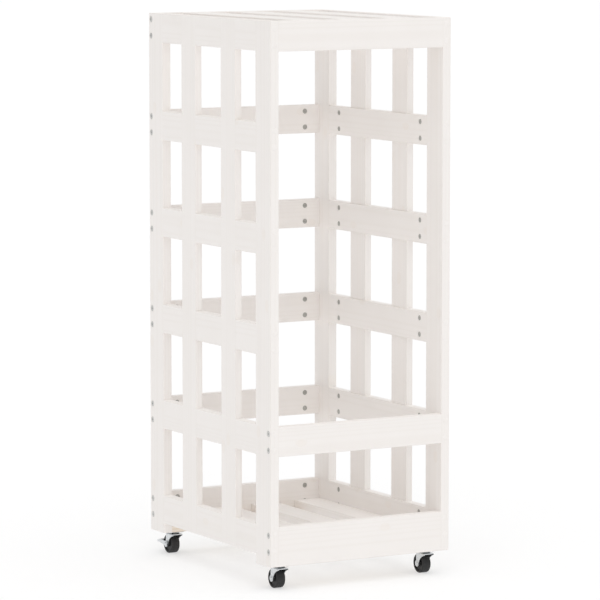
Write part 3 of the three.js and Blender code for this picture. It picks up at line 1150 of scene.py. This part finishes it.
def floor_screw_places(end):
    """Screws up through a floor bearer, a pair into each floor slat, clear of the casters: behind
    the front plates, and on the inner side of the rear ones."""
    low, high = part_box(f"floor_bearer_{end}")
    plate_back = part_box(f"{end}_left_caster_plate")[1].y
    if end == "front":
        rows = ((plate_back + high.y) / 2, high.y - 8 * MM)
    else:
        rows = (low.y + 12 * MM, low.y + 28 * MM)
    places = []
    for number in FLOOR_SLATS:
        slat_low, slat_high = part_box(f"floor_slat_{number}")
        middle = (slat_low.x + slat_high.x) / 2
        inward = math.copysign(1, -middle)
        beside_plate = end == "rear" and number in (1, 4)
        offsets = (13 * inward, 21 * inward) if beside_plate else (-14, 14)
        for offset, row in zip(offsets, rows):
            places.append(set_on((middle + offset * MM, row, low.z), -Z))
    return places


class LOGRACK_OT_roof(bpy.types.Operator):
    """Models the roof's three slats and the two cleats under them"""

    bl_idname = "lograck.roof"
    bl_label = "Roof"

    def execute(self, context):
        for slat in ROOF_SLATS:
            make_board(f"roof_slat_{slat}")
        for end in ENDS:
            bores = [screw_bore(roof_screw_places(end)), screw_bore(cleat_screw_places(end))]
            make_board(f"roof_cleat_{end}", bores=bores)
        return {"FINISHED"}


class LOGRACK_OT_floor(bpy.types.Operator):
    """Models the floor's four slats and the two bearers under them"""

    bl_idname = "lograck.floor"
    bl_label = "Floor"

    def execute(self, context):
        for number in FLOOR_SLATS:
            make_board(f"floor_slat_{number}")
        for end in ENDS:
            bores = [screw_bore(floor_screw_places(end))]
            make_board(f"floor_bearer_{end}", kind="plain_pine", bores=bores)
        return {"FINISHED"}


# ---- fasteners ----


def rolled(places, seed):
    """The places, each turned about its own axis as a fastener comes to rest when tightened."""
    dice = random.Random(seed)
    return [place @ Matrix.Rotation(dice.uniform(0, math.tau), 4, "Z") for place in places]


def sunk(places, depth):
    """The places, moved in from the surface."""
    return [place @ Matrix.Translation(-Z * depth) for place in places]


def socket_bolt(shank_length):
    """A flat-headed connector bolt with a hexagon socket, its head's top at Z 0."""
    settings = fasteners()
    head = settings.head_diameter / 2 / MM
    shank = settings.shank_diameter / 2 / MM
    under = -settings.head_height / MM
    tip = under - shank_length / MM
    upper = [(head, -0.7), (head - 0.35, -0.2), (head - 0.9, 0), (head - 2.3, -0.12)]
    lower = [(head, under + 0.2), (head - 0.3, under), (shank, under), (shank, tip + 1)]
    bolt = turn("bolt", 40, lower + [(shank - 0.9, tip)], upper)
    across_corners = settings.socket_width / math.cos(math.pi / 6) / 2 / MM
    socket = turn(
        "socket", 6, [(across_corners, -1.5), (across_corners * 0.2, -1.9)], [(across_corners, 1)]
    )
    combine(bolt, socket, "DIFFERENCE")
    smooth(bolt)
    return bolt


class LOGRACK_OT_panel_bolts(bpy.types.Operator):
    """Models the bolts through the side panels into the front boards and back rails"""

    bl_idname = "lograck.panel_bolts"
    bl_label = "Panel bolts"

    def execute(self, context):
        settings = fasteners()
        low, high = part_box("left_rear_post")
        seat = settings.head_sink + settings.head_height
        shank = high.x - low.x - seat + settings.cross_reach + settings.nut_diameter / 2
        bolt = socket_bolt(shank)
        for side, end in POSTS:
            name = f"{side}_{end}_post_panel_bolts"
            places = sunk(rolled(panel_bolt_places(side, end), name), settings.head_sink)
            bolts = spread(bolt, name, places)
            deliver(bolts, "rack", [finish("bolt")])
        discard(bolt)
        return {"FINISHED"}


class LOGRACK_OT_frame_bolts(bpy.types.Operator):
    """Models the long bolts that draw each side rail to its posts, deep under their caps"""

    bl_idname = "lograck.frame_bolts"
    bl_label = "Frame bolts"

    def execute(self, context):
        settings = fasteners()
        bolt = socket_bolt(settings.grip + settings.nut_diameter / 2)
        for side, end in POSTS:
            name = f"{side}_{end}_post_frame_bolts"
            depth = frame_head_depth(end) * MM - settings.head_height
            places = sunk(rolled(frame_bolt_places(side, end), name), depth)
            bolts = spread(bolt, name, places)
            deliver(bolts, "rack", [finish("bolt")])
        discard(bolt)
        return {"FINISHED"}


class LOGRACK_OT_caps(bpy.types.Operator):
    """Models the white caps that close the frame bolts' holes in the posts' narrow faces"""

    bl_idname = "lograck.caps"
    bl_label = "Caps"

    def execute(self, context):
        radius = fasteners().cap_diameter / 2 / MM
        upper = [(radius, 0.02), (radius - 0.3, 0.22), (radius - 1.5, 0.36), (1.0, 0.42)]
        cap = turn("cap", 40, [(radius, -2.6), (radius - 0.4, -3)], upper)
        smooth(cap)
        for side, end in POSTS:
            caps = spread(cap, f"{side}_{end}_post_caps", frame_bolt_places(side, end))
            deliver(caps, "rack", [finish("cap")])
        discard(cap)
        return {"FINISHED"}


def barrel_nut():
    """A barrel nut with a turning slot in its end and a threaded hole across it, its top at Z 0."""
    settings = fasteners()
    radius = settings.nut_diameter / 2 / MM
    end = settings.nut_length / MM
    upper = [(radius, -0.5), (radius - 0.15, -0.15), (radius - 0.5, 0)]
    lower = [(radius, -end + 0.5), (radius - 0.5, -end)]
    nut = turn("nut", 40, lower, upper)
    low, high = Vector((-radius - 1, -0.65, -1.3)) * MM, Vector((radius + 1, 0.65, 1)) * MM
    combine(nut, start_box("slot", low, high), "DIFFERENCE")
    hole = hole_radius(settings.shank_diameter) - 0.2
    cross = turn("hole", 24, [(hole, -radius - 1)], [(hole, radius + 1)])
    middle = board_thickness() / 2 - settings.nut_sink
    cross.data.transform(Matrix.Translation(-Z * middle) @ Matrix.Rotation(math.pi / 2, 4, "Y"))
    combine(nut, cross, "DIFFERENCE")
    smooth(nut)
    return nut


class LOGRACK_OT_barrel_nuts(bpy.types.Operator):
    """Models the barrel nuts that the bolts are screwed into, in the rails and front boards"""

    bl_idname = "lograck.barrel_nuts"
    bl_label = "Barrel nuts"

    def execute(self, context):
        groups = {
            f"{side}_rail_{row}_nuts": side_nut_places(side, row) for side in SIDES for row in ROWS
        }
        for row in ROWS:
            groups[f"back_rail_{row}_nuts"] = cross_nut_places(f"back_rail_{row}", -Y)
        for node in BOLTED_FRONT_BOARDS:
            groups[f"{node}_nuts"] = cross_nut_places(node, Y)
        nut = barrel_nut()
        for name, places in groups.items():
            nuts = spread(nut, name, sunk(places, fasteners().nut_sink))
            deliver(nuts, "rack", [finish("nut")])
        discard(nut)
        return {"FINISHED"}


def cut_cross(screw, top):
    """Cuts a cross recess into a screw's head, whose top is at a height in millimetres."""
    for long, wide in ((2.1, 0.45), (0.45, 2.1)):
        low, high = Vector((-long, -wide, top - 1.4)) * MM, Vector((long, wide, top + 1)) * MM
        combine(screw, start_box("recess", low, high), "DIFFERENCE")


def wood_screw(length_mm):
    """A countersunk wood screw, its head's top at Z 0."""
    head = fasteners().screw_diameter / 2 / MM
    neck = 1.8
    lower = [(head, -0.25), (neck, -0.25 - (head - neck)), (neck, -length_mm + 4)]
    screw = turn("screw", 32, lower + [(0.25, -length_mm)], [(head, -0.12), (head - 0.12, 0)])
    cut_cross(screw, 0)
    smooth(screw)
    return screw


class LOGRACK_OT_wood_screws(bpy.types.Operator):
    """Models the wood screws through the roof cleats and the floor bearers"""

    bl_idname = "lograck.wood_screws"
    bl_label = "Wood screws"

    def execute(self, context):
        screw = wood_screw(30)
        for end in ENDS:
            groups = {
                f"roof_cleat_{end}_screws": roof_screw_places(end) + cleat_screw_places(end),
                f"floor_bearer_{end}_screws": floor_screw_places(end),
            }
            for name, places in groups.items():
                screws = spread(screw, name, sunk(rolled(places, name), 0.1 * MM))
                deliver(screws, "rack", [finish("screw")])
        discard(screw)
        return {"FINISHED"}


# ---- casters ----


def swivel_point(corner):
    """Where a caster's swivel axis meets its mounting plane."""
    low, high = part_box(f"{corner}_caster_plate")
    return Vector(((low.x + high.x) / 2, (low.y + high.y) / 2, high.z))


def axle_point(corner):
    """The middle of a caster's axle."""
    low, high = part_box(f"{corner}_caster_wheel")
    return (low + high) / 2


def from_swivel(point):
    """A point of the front left caster, in millimetres from its swivel axis and mounting plane."""
    return (Vector(point) - swivel_point("front_left")) / MM


def place_copy(model, name, point):
    """A copy of a caster piece at one corner."""
    return spread(model, name, [Matrix.Translation(point)])


def plate_screw_spots():
    """Where four screws enter a caster plate from below, from the swivel point."""
    reach = casters().screw_reach
    return [Vector((x, y, -PLATE_MM * MM)) for x in (-reach, reach) for y in (-reach, reach)]


def caster_plate():
    """The square top plate with its pressed bearing race and the riveted kingpin under it."""
    settings = casters()
    low, high = (from_swivel(corner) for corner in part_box("front_left_caster_plate"))
    fork_top = from_swivel(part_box("front_left_caster_fork")[1]).z
    half, thick = high.x, PLATE_MM
    corner = settings.corner_radius / MM
    outline = rounded_rectangle((-half, -half), (half, half), corner)
    plate = flat_sheet("plate", outline, -thick, 0)
    round_edges(plate, lambda a, b: abs(a.z - b.z) < TINY, 0.35 * MM, 2)
    race = fork_top + 0.4
    crown = fork_top - settings.sheet / MM - 0.4
    ridges = [(12.6, -thick - 0.7), (12.2, -thick - 1.1), (12.0, race + 1.4), (11.2, race + 0.4)]
    ridges += [(10.2, race), (3.5, race), (3.5, crown), (5.0, crown), (4.9, crown - 0.5)]
    ridges += [(4.0, low.z + 0.1), (2.4, low.z)]
    combine(plate, turn("race", 56, ridges, [(12.6, -thick / 2)]), "UNION")
    holes = [set_on(spot, -Z) for spot in plate_screw_spots()]
    bore(plate, 24, [(2.6, MOUTH_MM), (2.25, -0.3), (2.25, -thick - 1)], holes)
    smooth(plate)
    return plate


def plate_screw():
    """A pan-headed screw under a caster plate: its seat is at Z 0 and its head rises above."""
    upper = [(3.7, 0.9), (3.45, 1.35), (2.9, 1.75), (2.0, 1.95)]
    screw = turn("screw", 32, [(3.7, 0.0), (1.9, 0.0), (1.9, -12), (0.25, -15.5)], upper)
    cut_cross(screw, 2)
    smooth(screw)
    return screw


def fold_at(height):
    """A test for an edge that runs along Y and lies at a height in millimetres, or above it."""
    return lambda a, b: abs(a.x - b.x) < TINY and min(a.z, b.z) > (height - 0.01) * MM


def caster_fork():
    """The folded fork: a crown under the race, and an arm down each side of the wheel that narrows
    in a hollow curve to a round end at the axle."""
    settings = casters()
    low, high = (from_swivel(corner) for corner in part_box("front_left_caster_fork"))
    axle = from_swivel(axle_point("front_left"))
    sheet_mm, radius = settings.sheet / MM, settings.arm_radius / MM
    bend, top = settings.bend / MM, high.z
    fork = start_box(
        "fork", Vector((low.x, low.y - 1, low.z - 4)) * MM, Vector((high.x, high.y + 1, top)) * MM
    )
    round_edges(fork, fold_at(top), bend * MM, 5)
    inside_top = top - sheet_mm
    hollow = start_box(
        "hollow",
        Vector((low.x + sheet_mm, low.y - 3, low.z - 6)) * MM,
        Vector((high.x - sheet_mm, high.y + 3, inside_top)) * MM,
    )
    round_edges(hollow, fold_at(inside_top), (bend - sheet_mm) * MM, 3)
    combine(fork, hollow, "DIFFERENCE")

    outline = [(low.y, top + 1)]
    arm_start, arm_end = (low.y, inside_top - 1.4), (axle.y - radius, axle.z)
    outline += bow(arm_start, (axle.y - radius - 4, top - 7.6), arm_end)
    outline += arc((axle.y, axle.z), radius, 180, 360, 16)[1:]
    outline += [(high.y, top + 1)]
    combine(fork, cross_sheet("side_view", outline, low.x - 1, high.x + 1), "INTERSECT")
    corner = settings.corner_radius / MM
    plan = rounded_rectangle((low.x, low.y), (high.x, high.y), corner)
    combine(fork, flat_sheet("plan_view", plan, low.z - 2, top + 2), "INTERSECT")

    bore(fork, 32, [(4.0, MOUTH_MM), (4.0, -sheet_mm - 2)], [set_on((0, 0, top * MM), Z)])
    hole = set_on((high.x * MM, axle.y * MM, axle.z * MM), X)
    bore(fork, 28, [(2.8, MOUTH_MM), (2.8, -2 * high.x - 1)], [hole])
    break_edges(fork, 0.18)
    smooth(fork)
    return fork


def break_edges(piece, radius):
    """Takes the sharpness off every sheared edge of a pressing."""
    modifier = piece.modifiers.new("edges", "BEVEL")
    modifier.width = radius * MM
    modifier.segments = 2
    modifier.limit_method = "ANGLE"
    modifier.angle_limit = math.radians(50)
    only(piece)
    bpy.ops.object.modifier_apply(modifier=modifier.name)


def caster_wheel():
    """The wheel about its axle: a rounded rubber tyre on a dished nylon core with a raised hub."""
    low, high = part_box("front_left_caster_wheel")
    radius, half = (high.z - low.z) / 2 / MM, (high.x - low.x) / 2 / MM
    ridges = [(radius, half - 1.8), (radius - 0.1, half - 1.1), (radius - 0.4, half - 0.5)]
    ridges += [(radius - 0.9, half - 0.13), (radius - 1.5, half), (radius - 3.6, half)]
    ridges += [(radius - 3.9, half - 0.35), (radius - 4.4, half - 0.35), (radius - 4.9, half - 2)]
    ridges += [(7.2, half - 2.3), (6.4, half - 1.9), (6.0, half - 0.3), (5.7, half), (2.8, half)]
    wheel = turn("wheel", 72, mirrored(ridges), ridges)
    hub = (half - 0.1) * MM
    choose_faces(wheel, lambda middle, normal: middle.xy.length < TINY and abs(middle.z) > hub)
    bpy.ops.mesh.bridge_edge_loops()
    only(wheel)
    wheel.data.transform(Matrix.Rotation(math.pi / 2, 4, "Y"))
    smooth(wheel)
    return wheel


def caster_axle(corner):
    """The axle rivet along X, with a domed head outside each arm."""
    low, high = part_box(f"{corner}_caster_axle")
    tip = (high.x - low.x) / 2 / MM
    seat = tip - 1.5
    ridges = [(2.5, seat), (4.0, seat), (3.9, seat + 0.5), (3.2, seat + 1.1), (1.8, tip - 0.05)]
    ridges += [(0.6, tip)]
    axle = turn("axle", 40, mirrored(ridges), ridges)
    axle.data.transform(Matrix.Rotation(math.pi / 2, 4, "Y"))
    smooth(axle)
    return axle


def brake_pedal():
    """The brake pedal about the axle: a cheek outside each arm, and a ribbed tread plate."""
    low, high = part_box("rear_left_brake_pedal")
    axle = axle_point("rear_left")
    outer = (high.x - low.x) / 2 / MM
    reach = (high.y - axle.y) / MM
    gauge, end, start = 1.4, 5.0, 22.0
    top_low, top_high = 2.0 + gauge, 5.0 + gauge
    side = arc((0, 0), end, 90, 270, 14)
    side += [(start, -1), (reach - 1.2, 0), (reach, 0.8), (reach, top_low), (start, top_high)]
    pedal = cross_sheet("pedal", side, -outer, outer)
    hollow = [(-end - 1, -end - 1), (reach - gauge, -end - 1), (reach - gauge, top_low - gauge)]
    hollow += [(start, top_high - gauge), (start - 0.4, 12), (-end - 1, 12)]
    combine(pedal, cross_sheet("hollow", hollow, -outer + gauge, outer - gauge), "DIFFERENCE")
    slope = (top_low - top_high) / (reach - start)
    ribs, first_rib, rib_pitch = 4, 2.2, 3.4
    for step in range(ribs):
        rib_start = start + first_rib + step * rib_pitch
        height = top_high + slope * (rib_start - start)
        rib = [(rib_start, height - 0.5), (rib_start + 1.4, height - 0.5 + slope * 1.4)]
        rib += [(rib_start + 1.1, height + 0.45 + slope * 1.1), (rib_start + 0.3, height + 0.45)]
        combine(pedal, cross_sheet("rib", rib, -outer + 2.2, outer - 2.2), "UNION")
    hole = set_on((outer * MM, 0, 0), X)
    bore(pedal, 28, [(2.8, MOUTH_MM), (2.8, -2 * outer - 1)], [hole])
    break_edges(pedal, 0.16)
    smooth(pedal)
    return pedal


class LOGRACK_OT_caster_plates(bpy.types.Operator):
    """Models the casters' top plates and the screws that hold them"""

    bl_idname = "lograck.caster_plates"
    bl_label = "Caster plates"

    def execute(self, context):
        plate, screw = caster_plate(), plate_screw()
        for corner in CORNERS:
            point = swivel_point(corner)
            piece = place_copy(plate, f"{corner}_plate_pressing", point)
            node = f"{corner}_caster_plate"
            deliver(piece, "rack", [finish("zinc")], [node])
            name = f"{corner}_plate_screws"
            places = rolled([set_on(point + spot, -Z) for spot in plate_screw_spots()], name)
            screws = spread(screw, name, places)
            deliver(screws, "rack", [finish("zinc")])
        discard(plate)
        discard(screw)
        return {"FINISHED"}


class LOGRACK_OT_caster_forks(bpy.types.Operator):
    """Models the casters' swivelling forks"""

    bl_idname = "lograck.caster_forks"
    bl_label = "Caster forks"

    def execute(self, context):
        fork = caster_fork()
        for corner in CORNERS:
            piece = place_copy(fork, f"{corner}_fork_pressing", swivel_point(corner))
            node = f"{corner}_caster_fork"
            deliver(piece, f"{corner}_fork", [finish("zinc")], [node])
        discard(fork)
        return {"FINISHED"}


class LOGRACK_OT_caster_wheels(bpy.types.Operator):
    """Models the casters' wheels, with a rubber tyre on a nylon core"""

    bl_idname = "lograck.caster_wheels"
    bl_label = "Caster wheels"

    def execute(self, context):
        wheel = caster_wheel()
        low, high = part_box("front_left_caster_wheel")
        tyre_inner = (high.z - low.z) / 2 - TYRE_MM * MM
        for corner in CORNERS:
            middle = axle_point(corner)
            piece = place_copy(wheel, f"{corner}_wheel_moulding", middle)
            node = f"{corner}_caster_wheel"
            finishes = [finish("tyre"), finish("core")]
            deliver(piece, f"{corner}_wheel", finishes, [node])
            for face in piece.data.polygons:
                from_axle = (face.center - middle).yz.length
                face.material_index = 0 if from_axle > tyre_inner else 1
        discard(wheel)
        return {"FINISHED"}


class LOGRACK_OT_caster_axles(bpy.types.Operator):
    """Models the casters' riveted axles"""

    bl_idname = "lograck.caster_axles"
    bl_label = "Caster axles"

    def execute(self, context):
        for end in ENDS:
            axle = caster_axle(f"{end}_left")
            for side in SIDES:
                corner = f"{end}_{side}"
                piece = place_copy(axle, f"{corner}_axle_rivet", axle_point(corner))
                node = f"{corner}_caster_axle"
                deliver(piece, f"{corner}_fork", [finish("zinc")], [node])
            discard(axle)
        return {"FINISHED"}


class LOGRACK_OT_brake_pedals(bpy.types.Operator):
    """Models the rear casters' brake pedals"""

    bl_idname = "lograck.brake_pedals"
    bl_label = "Brake pedals"

    def execute(self, context):
        pedal = brake_pedal()
        for corner in BRAKED_CORNERS:
            piece = place_copy(pedal, f"{corner}_pedal_pressing", axle_point(corner))
            node = f"{corner}_brake_pedal"
            deliver(piece, f"{corner}_pedal", [finish("zinc")], [node])
        discard(pedal)
        return {"FINISHED"}


# ---- studio ----


def floor_material(settings):
    """Opal acrylic sheet lit through from below: matt and nearly white, with a very slight
    unevenness in its tone and soft, pale shadows."""
    material, tree = new_material("matt_opal_acrylic_floor")
    place = add_node(tree, "ShaderNodeTexCoord").outputs["Object"]
    cloud = add_node(
        tree, "ShaderNodeTexNoise", {"Vector": place, "Scale": per_metre(600), "Detail": 2.0}
    ).outputs["Fac"]
    share = add_node(tree, "ShaderNodeMath", {0: cloud, 1: 0.05}, operation="MULTIPLY").outputs[0]
    tone = add_node(
        tree,
        "ShaderNodeMix",
        {0: share, MIX_A: settings.floor, MIX_B: settings.floor_shade},
        data_type="RGBA",
    ).outputs[MIX_RESULT]
    shader = add_node(
        tree,
        "ShaderNodeBsdfPrincipled",
        {
            "Base Color": tone,
            "Emission Color": (1, 1, 1, 1),
            "Emission Strength": settings.floor_glow,
            "Roughness": 0.9,
            "Specular IOR Level": 0.2,
        },
    )
    add_node(tree, "ShaderNodeOutputMaterial", {"Surface": shader.outputs["BSDF"]})
    return material


def towards(sweep, rise):
    """The direction that lies a sweep to the left of the front and a rise above the floor."""
    level = math.cos(rise)
    return Vector((-math.sin(sweep) * level, -math.cos(sweep) * level, math.sin(rise)))


def add_light(name, direction, strength, spread):
    """A soft distant light that shines from a direction."""
    only()
    bpy.ops.object.light_add(type="SUN", location=direction * 3)
    light = bpy.context.object
    light.name = name
    light.data.energy = strength
    light.data.angle = spread
    light.rotation_euler = direction.to_track_quat("Z", "Y").to_euler()


class LOGRACK_OT_stage(bpy.types.Operator):
    """Sets up the pale floor, the soft white light and the camera"""

    bl_idname = "lograck.stage"
    bl_label = "Stage"

    def execute(self, context):
        scene = context.scene
        settings = scene.lograck_studio
        only()
        bpy.ops.mesh.primitive_plane_add(size=settings.floor_size)
        floor = context.object
        floor.name = "floor"
        floor.data.materials.append(floor_material(settings))

        world = bpy.data.worlds.new("white_surround")
        scene.world = world
        world.use_nodes = True
        tree = world.node_tree
        tree.nodes.clear()
        seen = add_node(tree, "ShaderNodeLightPath").outputs["Is Camera Ray"]
        strength = add_node(
            tree, "ShaderNodeMapRange", {"Value": seen, 3: settings.surround, 4: settings.backdrop}
        ).outputs[0]
        white = add_node(
            tree, "ShaderNodeBackground", {"Color": (1, 1, 1, 1), "Strength": strength}
        )
        add_node(tree, "ShaderNodeOutputWorld", {"Surface": white.outputs[0]})

        overhead = towards(0, math.pi / 2 - settings.top_lean)
        add_light("top_light", overhead, settings.top_light, settings.top_spread)
        front_left = towards(settings.fill_sweep, settings.fill_rise)
        add_light("fill_light", front_left, settings.fill_light, settings.fill_spread)

        target = Vector((0, -settings.aim_forward, settings.aim_height))
        back = towards(settings.azimuth, settings.elevation)
        point = target + back * settings.distance
        only()
        bpy.ops.object.camera_add(location=point)
        camera = context.object
        camera.name = "camera"
        camera.rotation_euler = (-back).to_track_quat("-Z", "Y").to_euler()
        camera.data.lens = settings.lens
        camera.data.clip_end = settings.floor_size
        scene.camera = camera
        scene.view_settings.view_transform = "Standard"
        return {"FINISHED"}


# ---- add-on ----

OPERATORS = (
    LOGRACK_OT_stage,
    LOGRACK_OT_posts,
    LOGRACK_OT_side_rails,
    LOGRACK_OT_side_slats,
    LOGRACK_OT_front_boards,
    LOGRACK_OT_back_rails,
    LOGRACK_OT_roof,
    LOGRACK_OT_floor,
    LOGRACK_OT_panel_bolts,
    LOGRACK_OT_frame_bolts,
    LOGRACK_OT_caps,
    LOGRACK_OT_barrel_nuts,
    LOGRACK_OT_wood_screws,
    LOGRACK_OT_caster_plates,
    LOGRACK_OT_caster_forks,
    LOGRACK_OT_caster_wheels,
    LOGRACK_OT_caster_axles,
    LOGRACK_OT_brake_pedals,
)


class LOGRACK_PT_panel(bpy.types.Panel):
    """Lists the log rack's pieces in the sidebar"""

    bl_idname = "LOGRACK_PT_panel"
    bl_label = "Log Rack"
    bl_space_type = "VIEW_3D"
    bl_region_type = "UI"
    bl_category = "Log Rack"

    def draw(self, context):
        layout = self.layout
        for operator in OPERATORS:
            layout.operator(operator.bl_idname)
        for group, settings in GROUPS.items():
            box = layout.box()
            for name in settings.__annotations__:
                box.prop(getattr(context.scene, group), name)


def register():
    for settings in GROUPS.values():
        bpy.utils.register_class(settings)
    for group, settings in GROUPS.items():
        setattr(bpy.types.Scene, group, bpy.props.PointerProperty(type=settings))
    for operator in OPERATORS:
        bpy.utils.register_class(operator)
    bpy.utils.register_class(LOGRACK_PT_panel)


def unregister():
    bpy.utils.unregister_class(LOGRACK_PT_panel)
    for operator in reversed(OPERATORS):
        bpy.utils.unregister_class(operator)
    for group in reversed(GROUPS):
        delattr(bpy.types.Scene, group)
    for settings in reversed(GROUPS.values()):
        bpy.utils.unregister_class(settings)


def main():
    """Builds every piece and the stage."""
    register()
    for operator in OPERATORS:
        module, name = operator.bl_idname.split(".")
        getattr(getattr(bpy.ops, module), name)()


if __name__ == "__main__":
    main()
